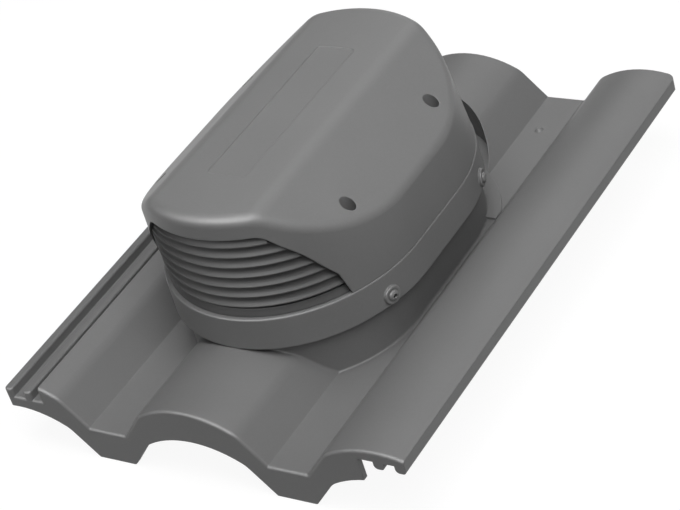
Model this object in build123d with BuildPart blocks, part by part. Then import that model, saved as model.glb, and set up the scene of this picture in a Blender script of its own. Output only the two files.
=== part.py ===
from build123d import *
from math import asin, cos, radians, sin, sqrt, tan
import os

os.makedirs("parts", exist_ok=True)

# A roof tile vent in moulded plastic: a double-roll interlocking tile with an upstand,
# a ring that fits over the upstand, and a hood with a louvred mouth that stands on the ring.
# All sizes are in millimetres. X runs across the roof slope, Y runs up it, and Z stands
# square to the tile. The origin is under the middle of the tile, at the foot of its nibs.

# Tile sheet
tile_length = 420
tile_width = 330
side_lap = 30
sheet_wall = 3
skirt_depth = 26
skirt_wall = 4
valley_width = 31.4
roll_height = 34.3
roll_crown_ratio = 1.282
roll_shoulder_radius = 18
flank_angle = 50.5
sharp_crease_radius = 3
soft_crease_radius = 10
front_edge_radius = 2.5
middle_roll_x = -7.2

# Side lock that the next tile covers, on the left
lock_width = 36.5
lock_floor_height = 17
lock_floor_wall = 3.5
lock_rib_width = 7
lock_rib_height = 7
lock_rib_places = (3.5, 20)
lock_step_width = 3.5
lock_rounding = 1.4

# Cover flange that laps over the next tile, on the right
flange_width = 35.5
flange_underside_height = 25.9
flange_lip_width = 8
flange_lip_drop = 5.9
flange_rib_width = 8
flange_rib_place = 20
flange_lip_rounding = 3
back_corner_radius = 6

# Batten nibs and the nail mark
nib_width = 24
nib_thickness = 12
nib_from_back = 34
nail_mark_radius = 3.5
nail_mark_height = 1.6
nail_mark_from_back = 41.3
nail_mark_from_edge = 100.1

# Run-off floor behind the upstand, where the middle roll stops
floor_rise = 2
floor_margin = 11
floor_back_radius = 58.5
floor_back_inset = 18.5
floor_side_gap = 8

# Upstand and its throat
hood_y = -9
upstand_radius = 88
upstand_straight = 80
upstand_wall = 3
seal_wall = 2
seal_width = 2.8
upstand_foot_radius = 1.5
throat_ledge_width = 4
throat_ledge_height = 15

# Ring
ring_side_gap = 6
ring_end_gap = 2
ring_end_angle = 50
ring_wall = 3
ring_draft = 1.2
ring_top_height = 60
ring_foot_clearance = 0.5
ring_flange_wall = 3
ring_flange_overlap = 9
ring_edge_radius = 1.4
ring_boss_gap = 0.2

# Hood cover
cover_wall = 3
cover_inset = 0.5
cover_height = 84
cover_front_draft = 1.5
cover_rear_draft = 13
cover_side_draft = 2
crown_from_side = 54
crown_rise = 1.5
crown_corner_radius = 20
shoulder_angle = 37.5
rim_radius = 8
name_recess_length = 150
name_recess_width = 31
name_recess_place = -9
name_recess_depth = 0.8
name_recess_radius = 3

# Mouth of the hood and its louvres
mouth_from_top = 17.7
mouth_top_from_side = 52.5
mouth_upper_height = 44.5
mouth_upper_from_side = 34
mouth_lower_height = 19
mouth_lower_from_side = 21.6
mouth_foot_from_side = 18.4
mouth_top_radius = 12
mouth_upper_radius = 60
mouth_lower_radius = 10
mouth_reach = 75
louvre_count = 7
first_louvre_height = 8.5
last_louvre_room = 7.8
louvre_lip_height = 4
louvre_lean = 2.2
louvre_wall = 1.8
louvre_inset = 3
louvre_web_run = 5
louvre_web_rise = 4
grille_band_height = 6
grille_frame_wall = 2.5
grille_frame_half_angle = 66
grille_frame_overlap = 3
grille_clearance = 0.6
grille_gap = 0.3

# Insect mesh behind the louvres
mesh_wall = 1.2
mesh_gap = 0.5
mesh_from_top = 18
mesh_half_angle = 52
mesh_columns = 12
mesh_rows = 9
mesh_bar = 1.6

# Duct piece in the throat
duct_plate_wall = 3
duct_clearance = 0.4
duct_bore_radius = 59
duct_wall = 2.5
weir_height = 25
weir_edge_radius = 1
spigot_ground_clearance = 2

# Screws
ring_screw_from_end = 67.5
ring_screw_height = 42
ring_screw_pad_radius = 7
ring_screw_pad_height = 0.8
ring_screw_boss_radius = 5
ring_screw_boss_length = 8
washer_radius = 6.8
washer_wall = 1.6
washer_rounding = 0.8
screw_head_radius = 4
screw_head_height = 2.4
screw_head_rounding = 1.8
screw_socket_radius = 1.6
screw_socket_depth = 1.6
screw_shank_radius = 2
screw_clearance = 0.1
ring_screw_length = 12
well_radius = 5
well_wall = 2.6
well_floor_wall = 3
well_from_side = 19.7
well_from_front = 68.5
well_from_rear = 80.6
cover_screw_length = 13
cover_screw_boss_radius = 3.8
cover_screw_boss_depth = 12

# Sizes of the tile, the ring and the mouth that follow from the sizes above
roll_pitch = (tile_width - side_lap) / 2
roll_half = (roll_pitch - valley_width) / 2
roll_crown_radius = roll_crown_ratio * roll_half
floor_side = roll_pitch - roll_half
floor_start_reach = upstand_radius**2 - (floor_side - floor_side_gap) ** 2
floor_start = upstand_straight / 2 + sqrt(max(0, floor_start_reach))
ring_half_width = upstand_radius + ring_side_gap + ring_wall
ring_end_radius = upstand_radius + ring_end_gap + ring_wall
ring_half_length = upstand_straight / 2 + ring_end_radius
ring_screw_place = ring_half_length - ring_screw_from_end
well_across = ring_half_width - well_from_side
crown_half_width = ring_half_width - crown_from_side
mouth_foot_half_width = ring_half_width - mouth_foot_from_side
mouth_lower_half_width = ring_half_width - mouth_lower_from_side
mouth_upper_half_width = ring_half_width - mouth_upper_from_side
mouth_top_half_width = ring_half_width - mouth_top_from_side
mouth_top_height = cover_height - mouth_from_top
louvre_field = mouth_top_height - first_louvre_height - last_louvre_room
louvre_pitch = louvre_field / (louvre_count - 1)
mesh_height = cover_height - mesh_from_top

# Heights that follow from the sizes above
valley_z = skirt_depth
crown_z = valley_z + roll_height
platform_z = valley_z + floor_rise
ledge_z = valley_z + throat_ledge_height
ring_top_z = valley_z + ring_top_height
ring_foot_z = crown_z + ring_foot_clearance
ring_flange_z = ring_top_z - ring_flange_wall
upstand_z = ring_flange_z - seal_wall
lock_floor_z = valley_z + lock_floor_height
flange_underside_z = valley_z + flange_underside_height
cover_top_z = ring_top_z + cover_height
well_floor_z = ring_top_z + well_floor_wall
tall = cover_top_z + tile_width

# Places across the tile
left_x = -tile_width / 2
right_x = tile_width / 2
lock_x = left_x + lock_width
flange_x = right_x - flange_width
roll_centres = [middle_roll_x + step * roll_pitch for step in (-1, 0, 1)]
valley_centres = [middle_roll_x - roll_pitch / 2, middle_roll_x + roll_pitch / 2]
back_y = tile_length / 2
hood_axis = Plane((middle_roll_x, hood_y, 0))
mouth_axis_y = hood_y - upstand_straight / 2
well_ends = (well_from_front - ring_half_length, ring_half_length - well_from_rear)
well_places = [(side * well_across, end) for side in (-1, 1) for end in well_ends]

# The straight flank of a roll meets its crown arc this far along the flank
flank_run = cos(radians(flank_angle))
flank_rise = sin(radians(flank_angle))
crown_drop = roll_crown_radius - roll_height
flank_lean = crown_drop * flank_rise - roll_half * flank_run
flank_reach = roll_half**2 + crown_drop**2 - roll_crown_radius**2
flank_length = sqrt(flank_lean**2 - flank_reach) - flank_lean
shoulder_x = roll_half - flank_length * flank_run
shoulder_rise = flank_length * flank_rise


def draw_ring_outline(half_width, front, rear, end_radius):
    """Closed outline of the ring and hood: round ends, larger corner arcs, straight sides."""
    lean = radians(ring_end_angle)
    corner_radius = (half_width - end_radius * sin(lean)) / (1 - sin(lean))
    corner_x = half_width - corner_radius
    corner_shift = (corner_radius - end_radius) * cos(lean)
    turn = 90 - ring_end_angle
    front_centre = end_radius - front
    rear_centre = rear - end_radius
    front_corner = front_centre + corner_shift
    rear_corner = rear_centre - corner_shift
    CenterArc((0, front_centre), end_radius, 270 - ring_end_angle, 2 * ring_end_angle)
    CenterArc((corner_x, front_corner), corner_radius, -turn, turn)
    Line((half_width, front_corner), (half_width, rear_corner))
    CenterArc((corner_x, rear_corner), corner_radius, 0, turn)
    CenterArc((0, rear_centre), end_radius, turn, 2 * ring_end_angle)
    CenterArc((-corner_x, rear_corner), corner_radius, 180 - turn, turn)
    Line((-half_width, rear_corner), (-half_width, front_corner))
    CenterArc((-corner_x, front_corner), corner_radius, 180, turn)


def at_hood(height):
    """Level plane at this height, centred on the hood."""
    return hood_axis.offset(height)


def ring_screw_planes(proud):
    """Planes at the ring's four screws, facing out, this far proud of the ring's top edge."""
    lean = radians(ring_end_angle)
    corner_radius = (ring_half_width - ring_end_radius * sin(lean)) / (1 - sin(lean))
    corner_x = ring_half_width - corner_radius
    corner_y = ring_half_length - ring_end_radius - (corner_radius - ring_end_radius) * cos(lean)
    turn = asin((ring_screw_place - corner_y) / corner_radius)
    reach_x = corner_x + corner_radius * cos(turn) + proud * cos(turn)
    reach_y = ring_screw_place + proud * sin(turn)
    planes = []
    for side in (-1, 1):
        for end in (-1, 1):
            place = (
                middle_roll_x + side * reach_x,
                hood_y + end * reach_y,
                valley_z + ring_screw_height,
            )
            outward = (side * cos(turn), end * sin(turn), 0)
            planes.append(Plane(origin=place, x_dir=(0, 0, 1), z_dir=outward))
    return planes


def well_planes(height):
    """Level planes at this height on the axes of the four screw wells."""
    return [Plane((middle_roll_x + x, hood_y + y, height)) for x, y in well_places]


def mouth_plane(turn):
    """Upright plane through the mouth's axis, turned this far from straight ahead."""
    ahead = (sin(radians(turn)), -cos(radians(turn)), 0)
    across = (-cos(radians(turn)), -sin(radians(turn)), 0)
    return Plane(origin=(middle_roll_x, mouth_axis_y, ring_top_z), x_dir=ahead, z_dir=across)


# Cross-section of all that lies under the tile's top surface
section_depth = 60
with BuildSketch(Plane.XZ) as surface_section:
    with Locations((0, valley_z)):
        Rectangle(2 * tile_width, section_depth, align=(Align.CENTER, Align.MAX))
    for centre in roll_centres:
        with BuildLine():
            ThreePointArc(
                (centre - shoulder_x, valley_z + shoulder_rise),
                (centre, crown_z),
                (centre + shoulder_x, valley_z + shoulder_rise),
            )
            Polyline(
                (centre + shoulder_x, valley_z + shoulder_rise),
                (centre + roll_half, valley_z),
                (centre - roll_half, valley_z),
                (centre - shoulder_x, valley_z + shoulder_rise),
            )
        make_face()
    rows = surface_section.vertices().group_by(Axis.Y)
    fillet(rows[-1], roll_shoulder_radius)
    left_feet = [centre - roll_half for centre in roll_centres]
    feet = surface_section.vertices().filter_by_position(Axis.Y, valley_z - 1, valley_z + 1)
    feet = feet.filter_by_position(Axis.X, -tile_width + 1, tile_width - 1)
    sharp = [foot for foot in feet if min(abs(foot.X - x) for x in left_feet) < 1]
    soft = [foot for foot in feet if min(abs(foot.X - x) for x in left_feet) >= 1]
    fillet(sharp, sharp_crease_radius)
    fillet(soft, soft_crease_radius)

# Cross-section of the hollow under the sheet
with BuildSketch(Plane.XZ) as hollow_section:
    add(surface_section.sketch_local)
    offset(amount=-sheet_wall, kind=Kind.ARC, mode=Mode.REPLACE)

# Plan of the run-off floor, kept clear of the rolls on both sides
with BuildSketch(hood_axis) as floor_plan:
    with Locations((0, upstand_straight / 2)):
        Circle(upstand_radius + floor_margin)
    with Locations((0, upstand_straight / 2 + upstand_radius - floor_back_inset)):
        Circle(floor_back_radius)
    with Locations((0, floor_start)):
        Rectangle(
            2 * floor_side,
            tile_length,
            align=(Align.CENTER, Align.MIN),
            mode=Mode.INTERSECT,
        )

with BuildSketch(hood_axis) as floor_wall_plan:
    add(floor_plan.sketch_local)
    offset(amount=sheet_wall, kind=Kind.ARC, mode=Mode.REPLACE)

# Space under the sheet, with the run-off floor and its round wall in it
with BuildPart() as hollow:
    with BuildSketch(Plane.XZ.offset(-tile_length)):
        add(hollow_section.sketch_local)
    extrude(amount=2 * tile_length)
    with BuildSketch(at_hood(platform_z - sheet_wall)):
        add(floor_wall_plan.sketch_local)
    extrude(amount=roll_height, mode=Mode.SUBTRACT)
    with BuildSketch(at_hood(platform_z - sheet_wall)):
        add(floor_plan.sketch_local)
    extrude(amount=-floor_rise)

# Lock section: a floor with two ribs, and the step up to the left roll
with BuildSketch(Plane.XZ) as lock_section:
    with Locations((left_x, lock_floor_z)):
        Rectangle(lock_width, lock_floor_wall, align=(Align.MIN, Align.MAX))
    with Locations(*[(left_x + place, lock_floor_z) for place in lock_rib_places]):
        Rectangle(lock_rib_width, lock_rib_height, align=(Align.CENTER, Align.MIN))
    rib_top = lock_floor_z + lock_rib_height
    rib_corners = lock_section.vertices().filter_by_position(Axis.Y, rib_top - 1, rib_top + 1)
    fillet(rib_corners, lock_rounding)
    with Locations((lock_x, lock_floor_z - lock_floor_wall)):
        Rectangle(lock_step_width, roll_height, align=(Align.MAX, Align.MIN))
    add(surface_section.sketch_local, mode=Mode.INTERSECT)

# Flange section: the right roll's top, with a rib and an edge lip under it
with BuildSketch(Plane.XZ) as flange_section:
    with Locations((flange_x, flange_underside_z)):
        Rectangle(flange_width, roll_height, align=(Align.MIN, Align.MIN))
    with Locations((right_x, flange_underside_z)):
        Rectangle(flange_lip_width, flange_lip_drop, align=(Align.MAX, Align.MAX))
    with Locations((right_x - flange_rib_place, flange_underside_z)):
        Rectangle(flange_rib_width, flange_lip_drop, align=(Align.CENTER, Align.MAX))
    fillet(flange_section.vertices().group_by(Axis.Y)[0], flange_lip_rounding)
    add(surface_section.sketch_local, mode=Mode.INTERSECT)

# Front skirt section: the outline of the rolls above, and the same outline below
with BuildSketch(Plane.XZ) as skirt_section:
    with Locations((lock_x, 0)):
        Rectangle(flange_x - lock_x, tall, align=(Align.MIN, Align.MIN))
    add(surface_section.sketch_local, mode=Mode.INTERSECT)
    with Locations((lock_x, 0)):
        Rectangle(lock_width, lock_floor_z, align=(Align.MAX, Align.MIN))
    add(surface_section.sketch_local.moved(Location((0, -skirt_depth))), mode=Mode.SUBTRACT)

# The part of the sheet between the lock and the flange
with BuildSketch(Plane.XZ) as sheet_section:
    with Locations((lock_x, valley_z - sheet_wall)):
        Rectangle(flange_x - lock_x, tall, align=(Align.MIN, Align.MIN))
    add(surface_section.sketch_local, mode=Mode.INTERSECT)

# Outlines of the upstand, from its outside in to the throat
with BuildSketch(hood_axis) as upstand_plan:
    SlotCenterToCenter(upstand_straight, 2 * upstand_radius, rotation=90)
with BuildSketch(hood_axis) as throat_plan:
    add(upstand_plan.sketch_local)
    offset(amount=-upstand_wall, mode=Mode.REPLACE)
with BuildSketch(hood_axis) as ledge_plan:
    add(throat_plan.sketch_local)
    offset(amount=-throat_ledge_width, mode=Mode.REPLACE)

# Base tile: sheet, lock, flange, skirt, run-off floor, upstand and nibs in one moulding
with BuildPart() as base_tile:
    with BuildSketch(Plane.XZ.offset(-tile_length / 2)):
        add(sheet_section.sketch_local)
    extrude(amount=tile_length)
    with BuildSketch(at_hood(platform_z)):
        add(floor_plan.sketch_local)
    extrude(amount=roll_height, mode=Mode.SUBTRACT)
    with BuildSketch(at_hood(platform_z)):
        add(floor_plan.sketch_local)
    extrude(amount=-floor_rise)
    add(hollow.part, mode=Mode.SUBTRACT)
    with BuildSketch(Plane.XZ.offset(-tile_length / 2)):
        add(lock_section.sketch_local)
        add(flange_section.sketch_local)
    extrude(amount=tile_length)
    with BuildSketch(Plane.XZ.offset(tile_length / 2)):
        add(skirt_section.sketch_local)
    extrude(amount=-skirt_wall)
    skyward = base_tile.faces().filter_by(lambda face: face.normal_at().Z > 0.3).edges()
    front_face = base_tile.faces().sort_by(Axis.Y)[0]
    fillet([edge for edge in front_face.edges() if edge in skyward], front_edge_radius)
    with BuildSketch(at_hood(valley_z - sheet_wall)):
        add(upstand_plan.sketch_local)
    extrude(amount=upstand_z - valley_z + sheet_wall)
    rim_edges = base_tile.faces().sort_by(Axis.Z)[-1].outer_wire().edges()
    upstand_walls = base_tile.faces().filter_by(
        lambda face: abs(face.normal_at().Z) < 0.01 and any(edge in rim_edges for edge in face.edges())
    )
    skyward = base_tile.faces().filter_by(lambda face: face.normal_at().Z > 0.3).edges()
    foot_edges = [edge for edge in upstand_walls.edges() if edge in skyward and edge not in rim_edges]
    fillet(foot_edges, upstand_foot_radius)
    with BuildSketch(at_hood(ledge_z)):
        add(throat_plan.sketch_local)
    extrude(amount=tall, mode=Mode.SUBTRACT)
    with BuildSketch(at_hood(0)):
        add(ledge_plan.sketch_local)
    extrude(amount=tall, mode=Mode.SUBTRACT)
    nib_places = [(x, back_y - nib_from_back) for x in valley_centres]
    with BuildSketch(Plane.XY):
        with Locations(*nib_places):
            Rectangle(nib_width, nib_thickness)
    extrude(amount=valley_z - sheet_wall / 2)
    with BuildSketch(Plane.XY):
        Rectangle(tile_width, tile_length)
        back_corner = vertices().group_by(Axis.Y)[-1].sort_by(Axis.X)[-1]
        fillet(back_corner, back_corner_radius)
    extrude(amount=tall, mode=Mode.INTERSECT)
    with Locations(*ring_screw_planes(-ring_wall - ring_boss_gap)):
        Cylinder(
            ring_screw_boss_radius,
            ring_screw_boss_length,
            align=(Align.CENTER, Align.CENTER, Align.MAX),
        )
    with BuildSketch(at_hood(ledge_z)):
        add(throat_plan.sketch_local)
    extrude(amount=tall, mode=Mode.SUBTRACT)
    with Locations(*ring_screw_planes(0)):
        Cylinder(screw_shank_radius + screw_clearance, 4 * ring_screw_length, mode=Mode.SUBTRACT)
    with Locations((right_x - nail_mark_from_edge, back_y - nail_mark_from_back, valley_z)):
        Cone(
            nail_mark_radius,
            nail_mark_radius / 2,
            nail_mark_height,
            align=(Align.CENTER, Align.CENTER, Align.MIN),
        )
base_tile.part.label = "base_tile"
export_step(base_tile.part, "parts/base_tile.step")

# Ring: a drafted band over the upstand, with a flat flange that the hood stands on
with BuildPart() as hood_ring:
    with BuildSketch(at_hood(ring_top_z)):
        with BuildLine():
            draw_ring_outline(ring_half_width, ring_half_length, ring_half_length, ring_end_radius)
        make_face()
    extrude(amount=ring_foot_z - ring_top_z, taper=-ring_draft)
    fillet(hood_ring.faces().sort_by(Axis.Z)[-1].outer_wire().edges(), ring_edge_radius)
    with Locations(*ring_screw_planes(ring_screw_pad_height)):
        Cylinder(
            ring_screw_pad_radius,
            ring_wall + ring_screw_pad_height,
            align=(Align.CENTER, Align.CENTER, Align.MAX),
        )
    with BuildSketch(at_hood(ring_flange_z)):
        with BuildLine():
            draw_ring_outline(
                ring_half_width - ring_wall,
                ring_half_length - ring_wall,
                ring_half_length - ring_wall,
                ring_end_radius - ring_wall,
            )
        make_face()
    extrude(amount=ring_foot_z - ring_flange_z, taper=-ring_draft, mode=Mode.SUBTRACT)
    with Locations(*well_planes(ring_top_z)):
        Cylinder(
            cover_screw_boss_radius,
            cover_screw_boss_depth,
            align=(Align.CENTER, Align.CENTER, Align.MAX),
        )
    with BuildSketch(at_hood(ring_top_z)):
        SlotCenterToCenter(upstand_straight, 2 * (upstand_radius - ring_flange_overlap), rotation=90)
        with Locations(*well_places):
            Circle(well_radius + well_wall, mode=Mode.SUBTRACT)
    extrude(amount=-ring_flange_wall, mode=Mode.SUBTRACT)
    with Locations(*well_planes(ring_top_z)):
        Cylinder(screw_shank_radius + screw_clearance, tall, mode=Mode.SUBTRACT)
    with Locations(*ring_screw_planes(0)):
        Cylinder(screw_shank_radius + screw_clearance, 4 * ring_screw_length, mode=Mode.SUBTRACT)
hood_ring.part.label = "hood_ring"
export_step(hood_ring.part, "parts/hood_ring.step")

# Cross-section of the hood: a nearly flat crown and two straight shoulders
shoulder_run = crown_from_side + rim_radius
shoulder_drop = shoulder_run * tan(radians(shoulder_angle))
crown_edge_z = cover_top_z - crown_rise
with BuildSketch(Plane.XZ) as hood_section:
    with BuildLine():
        ThreePointArc((-crown_half_width, crown_edge_z), (0, cover_top_z), (crown_half_width, crown_edge_z))
        Polyline(
            (crown_half_width, crown_edge_z),
            (crown_half_width + shoulder_run, crown_edge_z - shoulder_drop),
            (crown_half_width + shoulder_run, 0),
            (-crown_half_width - shoulder_run, 0),
            (-crown_half_width - shoulder_run, crown_edge_z - shoulder_drop),
            (-crown_half_width, crown_edge_z),
        )
    make_face()
    fillet(hood_section.vertices().group_by(Axis.Y)[-1], crown_corner_radius)


def hood_solid(inset):
    """Solid of the hood's shape, this far inside its outer surface."""
    with BuildSketch(Plane.XZ) as section:
        add(hood_section.sketch_local)
        offset(amount=-inset, mode=Mode.REPLACE)
    drafts = (
        (ring_top_z, 0, 0, 0),
        (cover_top_z, cover_side_draft, cover_front_draft, cover_rear_draft),
    )
    with BuildPart() as solid:
        for height, side, front, rear in drafts:
            with BuildSketch(at_hood(height)):
                with BuildLine():
                    draw_ring_outline(
                        ring_half_width - cover_inset - inset - side,
                        ring_half_length - cover_inset - inset - front,
                        ring_half_length - cover_inset - inset - rear,
                        ring_end_radius - cover_inset - inset - side,
                    )
                make_face()
        loft(ruled=True)
        with BuildSketch(Plane.XZ.offset(-tile_length)):
            with Locations((middle_roll_x, 0)):
                add(section.sketch_local)
        extrude(amount=2 * tile_length, mode=Mode.INTERSECT)
        roof = solid.faces().filter_by(lambda face: face.normal_at().Z > 0.5)
        fillet(roof.edges().filter_by(GeomType.LINE, reverse=True), rim_radius - inset)
    return solid.part


# Outline of the mouth, drawn with its foot on the ring's top
with BuildSketch(Plane.XZ) as mouth_section:
    with BuildLine():
        Polyline(
            (-mouth_foot_half_width, 0),
            (-mouth_lower_half_width, mouth_lower_height),
            (-mouth_upper_half_width, mouth_upper_height),
            (-mouth_top_half_width, mouth_top_height),
            (mouth_top_half_width, mouth_top_height),
            (mouth_upper_half_width, mouth_upper_height),
            (mouth_lower_half_width, mouth_lower_height),
            (mouth_foot_half_width, 0),
            close=True,
        )
    make_face()
    fillet(mouth_section.vertices().group_by(Axis.Y)[1], mouth_lower_radius)
    fillet(mouth_section.vertices().group_by(Axis.Y)[-2], mouth_upper_radius)
    fillet(mouth_section.vertices().group_by(Axis.Y)[-1], mouth_top_radius)


def mouth_prism(inset):
    """Solid through the front of the hood, this far inside the mouth's outline."""
    with BuildSketch(Plane.XZ) as outline:
        add(mouth_section.sketch_local)
        offset(amount=-inset, mode=Mode.REPLACE)
    with BuildPart() as prism:
        with BuildSketch(Plane.XZ.offset(mouth_reach - hood_y)):
            with Locations((middle_roll_x, ring_top_z)):
                add(outline.sketch_local)
            with Locations((middle_roll_x, ring_top_z)):
                Rectangle(
                    2 * (mouth_foot_half_width - inset),
                    2 * inset + 1,
                )
        extrude(amount=tile_length)
    return prism.part


# Inside of the hood, round the tubes of the four screw wells
with BuildPart() as hood_space:
    add(hood_solid(cover_wall))
    with Locations(*well_planes(ring_top_z)):
        Cylinder(
            well_radius + well_wall,
            cover_height,
            align=(Align.CENTER, Align.CENTER, Align.MIN),
            mode=Mode.SUBTRACT,
        )

# Hood cover: a drafted shell with a mouth at its front and four screw wells
with BuildPart() as hood_cover:
    add(hood_solid(0))
    add(hood_space.part, mode=Mode.SUBTRACT)
    add(mouth_prism(0), mode=Mode.SUBTRACT)
    with Locations(*well_planes(well_floor_z)):
        Cylinder(
            well_radius,
            cover_height,
            align=(Align.CENTER, Align.CENTER, Align.MIN),
            mode=Mode.SUBTRACT,
        )
        Cylinder(screw_shank_radius + screw_clearance, cover_height, mode=Mode.SUBTRACT)
    with BuildSketch(at_hood(cover_top_z - name_recess_depth)):
        with Locations((0, name_recess_place)):
            RectangleRounded(name_recess_width, name_recess_length, name_recess_radius)
    extrude(amount=rim_radius, mode=Mode.SUBTRACT)
hood_cover.part.label = "hood_cover"
export_step(hood_cover.part, "parts/hood_cover.step")

# Louvre grille: a curved frame behind the mouth, a foot band and the hooked louvres
face_radius = ring_end_radius - louvre_inset
frame_radius = face_radius - louvre_lean
mesh_radius = frame_radius - louvre_web_run - mesh_gap
mouth_axis = Axis((middle_roll_x, mouth_axis_y, 0), (0, 0, 1))
grille_space = hood_solid(cover_wall + grille_gap)
with BuildPart() as louvres:
    with BuildSketch(mouth_plane(-grille_frame_half_angle)):
        with BuildLine():
            Polyline(
                (face_radius, 0),
                (frame_radius, grille_band_height),
                (frame_radius - grille_frame_wall, grille_band_height),
                (frame_radius - grille_frame_wall, 0),
                close=True,
            )
        make_face()
        for step in range(louvre_count):
            foot = first_louvre_height + step * louvre_pitch
            top = foot + louvre_lip_height
            with BuildLine():
                Polyline(
                    (face_radius, foot),
                    (frame_radius, top),
                    (frame_radius - louvre_web_run, top + louvre_web_rise),
                    (frame_radius - louvre_web_run, top + louvre_web_rise - louvre_wall),
                    (frame_radius - louvre_wall, top - louvre_wall / 2),
                    (face_radius - louvre_wall, foot),
                    close=True,
                )
            make_face()
    revolve(axis=mouth_axis, revolution_arc=2 * grille_frame_half_angle)
    add(mouth_prism(grille_clearance), mode=Mode.INTERSECT)
with BuildPart() as louvre_grille:
    with BuildSketch(mouth_plane(-grille_frame_half_angle)):
        with Locations((frame_radius, 0)):
            Rectangle(
                grille_frame_wall,
                mouth_top_height + 2 * grille_frame_overlap,
                align=(Align.MAX, Align.MIN),
            )
    revolve(axis=mouth_axis, revolution_arc=2 * grille_frame_half_angle)
    add(grille_space, mode=Mode.INTERSECT)
    add(mouth_prism(grille_frame_overlap), mode=Mode.SUBTRACT)
    add(louvres.part)
louvre_grille.part.label = "louvre_grille"
export_step(louvre_grille.part, "parts/louvre_grille.step")

# Insect mesh: a curved sheet of square holes standing on the ring's flange
mesh_column_step = 2 * mesh_half_angle / mesh_columns
mesh_row_step = mesh_height / mesh_rows
mesh_hole_width = mesh_radius * radians(mesh_column_step) - mesh_bar
with BuildPart() as insect_mesh:
    with BuildSketch(mouth_plane(-mesh_half_angle)):
        with Locations((mesh_radius, 0)):
            Rectangle(mesh_wall, mesh_height, align=(Align.MAX, Align.MIN))
    revolve(axis=mouth_axis, revolution_arc=2 * mesh_half_angle)
    add(grille_space, mode=Mode.INTERSECT)
    mesh_turns = [(column + 0.5) * mesh_column_step - mesh_half_angle for column in range(mesh_columns)]
    with Locations(*[mouth_plane(turn) for turn in mesh_turns]):
        with Locations(*[(mesh_radius, (row + 0.5) * mesh_row_step) for row in range(mesh_rows)]):
            Box(6 * mesh_wall, mesh_row_step - mesh_bar, mesh_hole_width, mode=Mode.SUBTRACT)
insect_mesh.part.label = "insect_mesh"
export_step(insect_mesh.part, "parts/insect_mesh.step")

# Upstand seal: a flat gasket between the upstand's top and the ring's flange
with BuildPart() as upstand_seal:
    with BuildSketch(at_hood(upstand_z)):
        SlotCenterToCenter(upstand_straight, 2 * upstand_radius, rotation=90)
        SlotCenterToCenter(
            upstand_straight, 2 * (upstand_radius - seal_width), rotation=90, mode=Mode.SUBTRACT
        )
    extrude(amount=seal_wall)
upstand_seal.part.label = "upstand_seal"
export_step(upstand_seal.part, "parts/upstand_seal.step")

# Duct piece: a plate on the throat's ledge, a rain weir above it and a spigot below it
with BuildPart() as duct_spigot:
    with BuildSketch(at_hood(ledge_z)):
        add(throat_plan.sketch_local)
        offset(amount=-duct_clearance, mode=Mode.REPLACE)
    extrude(amount=duct_plate_wall)
    with BuildSketch(at_hood(spigot_ground_clearance)):
        Circle(duct_bore_radius + duct_wall)
    extrude(amount=ledge_z + duct_plate_wall + weir_height - spigot_ground_clearance)
    with BuildSketch(at_hood(spigot_ground_clearance)):
        Circle(duct_bore_radius)
    extrude(amount=tall, mode=Mode.SUBTRACT)
    weir_edges = duct_spigot.edges().filter_by(GeomType.CIRCLE).group_by(Axis.Z)[-1]
    fillet(weir_edges, weir_edge_radius)
duct_spigot.part.label = "duct_spigot"
export_step(duct_spigot.part, "parts/duct_spigot.step")

# Sealing washers under the ring screws
with BuildPart() as washer:
    Cylinder(washer_radius, washer_wall, align=(Align.CENTER, Align.CENTER, Align.MIN))
    fillet(washer.edges().group_by(Axis.Z)[-1], washer_rounding)
    Cylinder(screw_shank_radius + screw_clearance, tall, mode=Mode.SUBTRACT)
with BuildPart() as ring_screw_washers:
    with Locations(*ring_screw_planes(ring_screw_pad_height)):
        add(washer.part)
ring_screw_washers.part.label = "ring_screw_washers"
export_step(ring_screw_washers.part, "parts/ring_screw_washers.step")


def cut_screw(length):
    """One domed screw with a socket, drawn with the seat of its head at the origin."""
    with BuildPart() as screw:
        Cylinder(
            screw_head_radius,
            screw_head_height,
            align=(Align.CENTER, Align.CENTER, Align.MIN),
        )
        crown_edge = screw.edges().group_by(Axis.Z)[-1]
        fillet(crown_edge, screw_head_rounding)
        Cylinder(screw_shank_radius, length, align=(Align.CENTER, Align.CENTER, Align.MAX))
        with Locations((0, 0, screw_head_height)):
            Cylinder(
                screw_socket_radius,
                screw_socket_depth,
                align=(Align.CENTER, Align.CENTER, Align.MAX),
                mode=Mode.SUBTRACT,
            )
    return screw.part


# Ring screws, through the washers and the ring into the bosses on the upstand
with BuildPart() as ring_screws:
    with Locations(*ring_screw_planes(ring_screw_pad_height + washer_wall)):
        add(cut_screw(ring_screw_length))
ring_screws.part.label = "ring_screws"
export_step(ring_screws.part, "parts/ring_screws.step")

# Cover screws, at the bottom of the wells
with BuildPart() as cover_screws:
    with Locations(*well_planes(well_floor_z)):
        add(cut_screw(cover_screw_length))
cover_screws.part.label = "cover_screws"
export_step(cover_screws.part, "parts/cover_screws.step")
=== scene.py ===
"""Finishes, small parts and stage for a moulded plastic roof tile vent."""

import math

import bmesh
import bpy
from mathutils import Matrix, Vector


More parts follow.
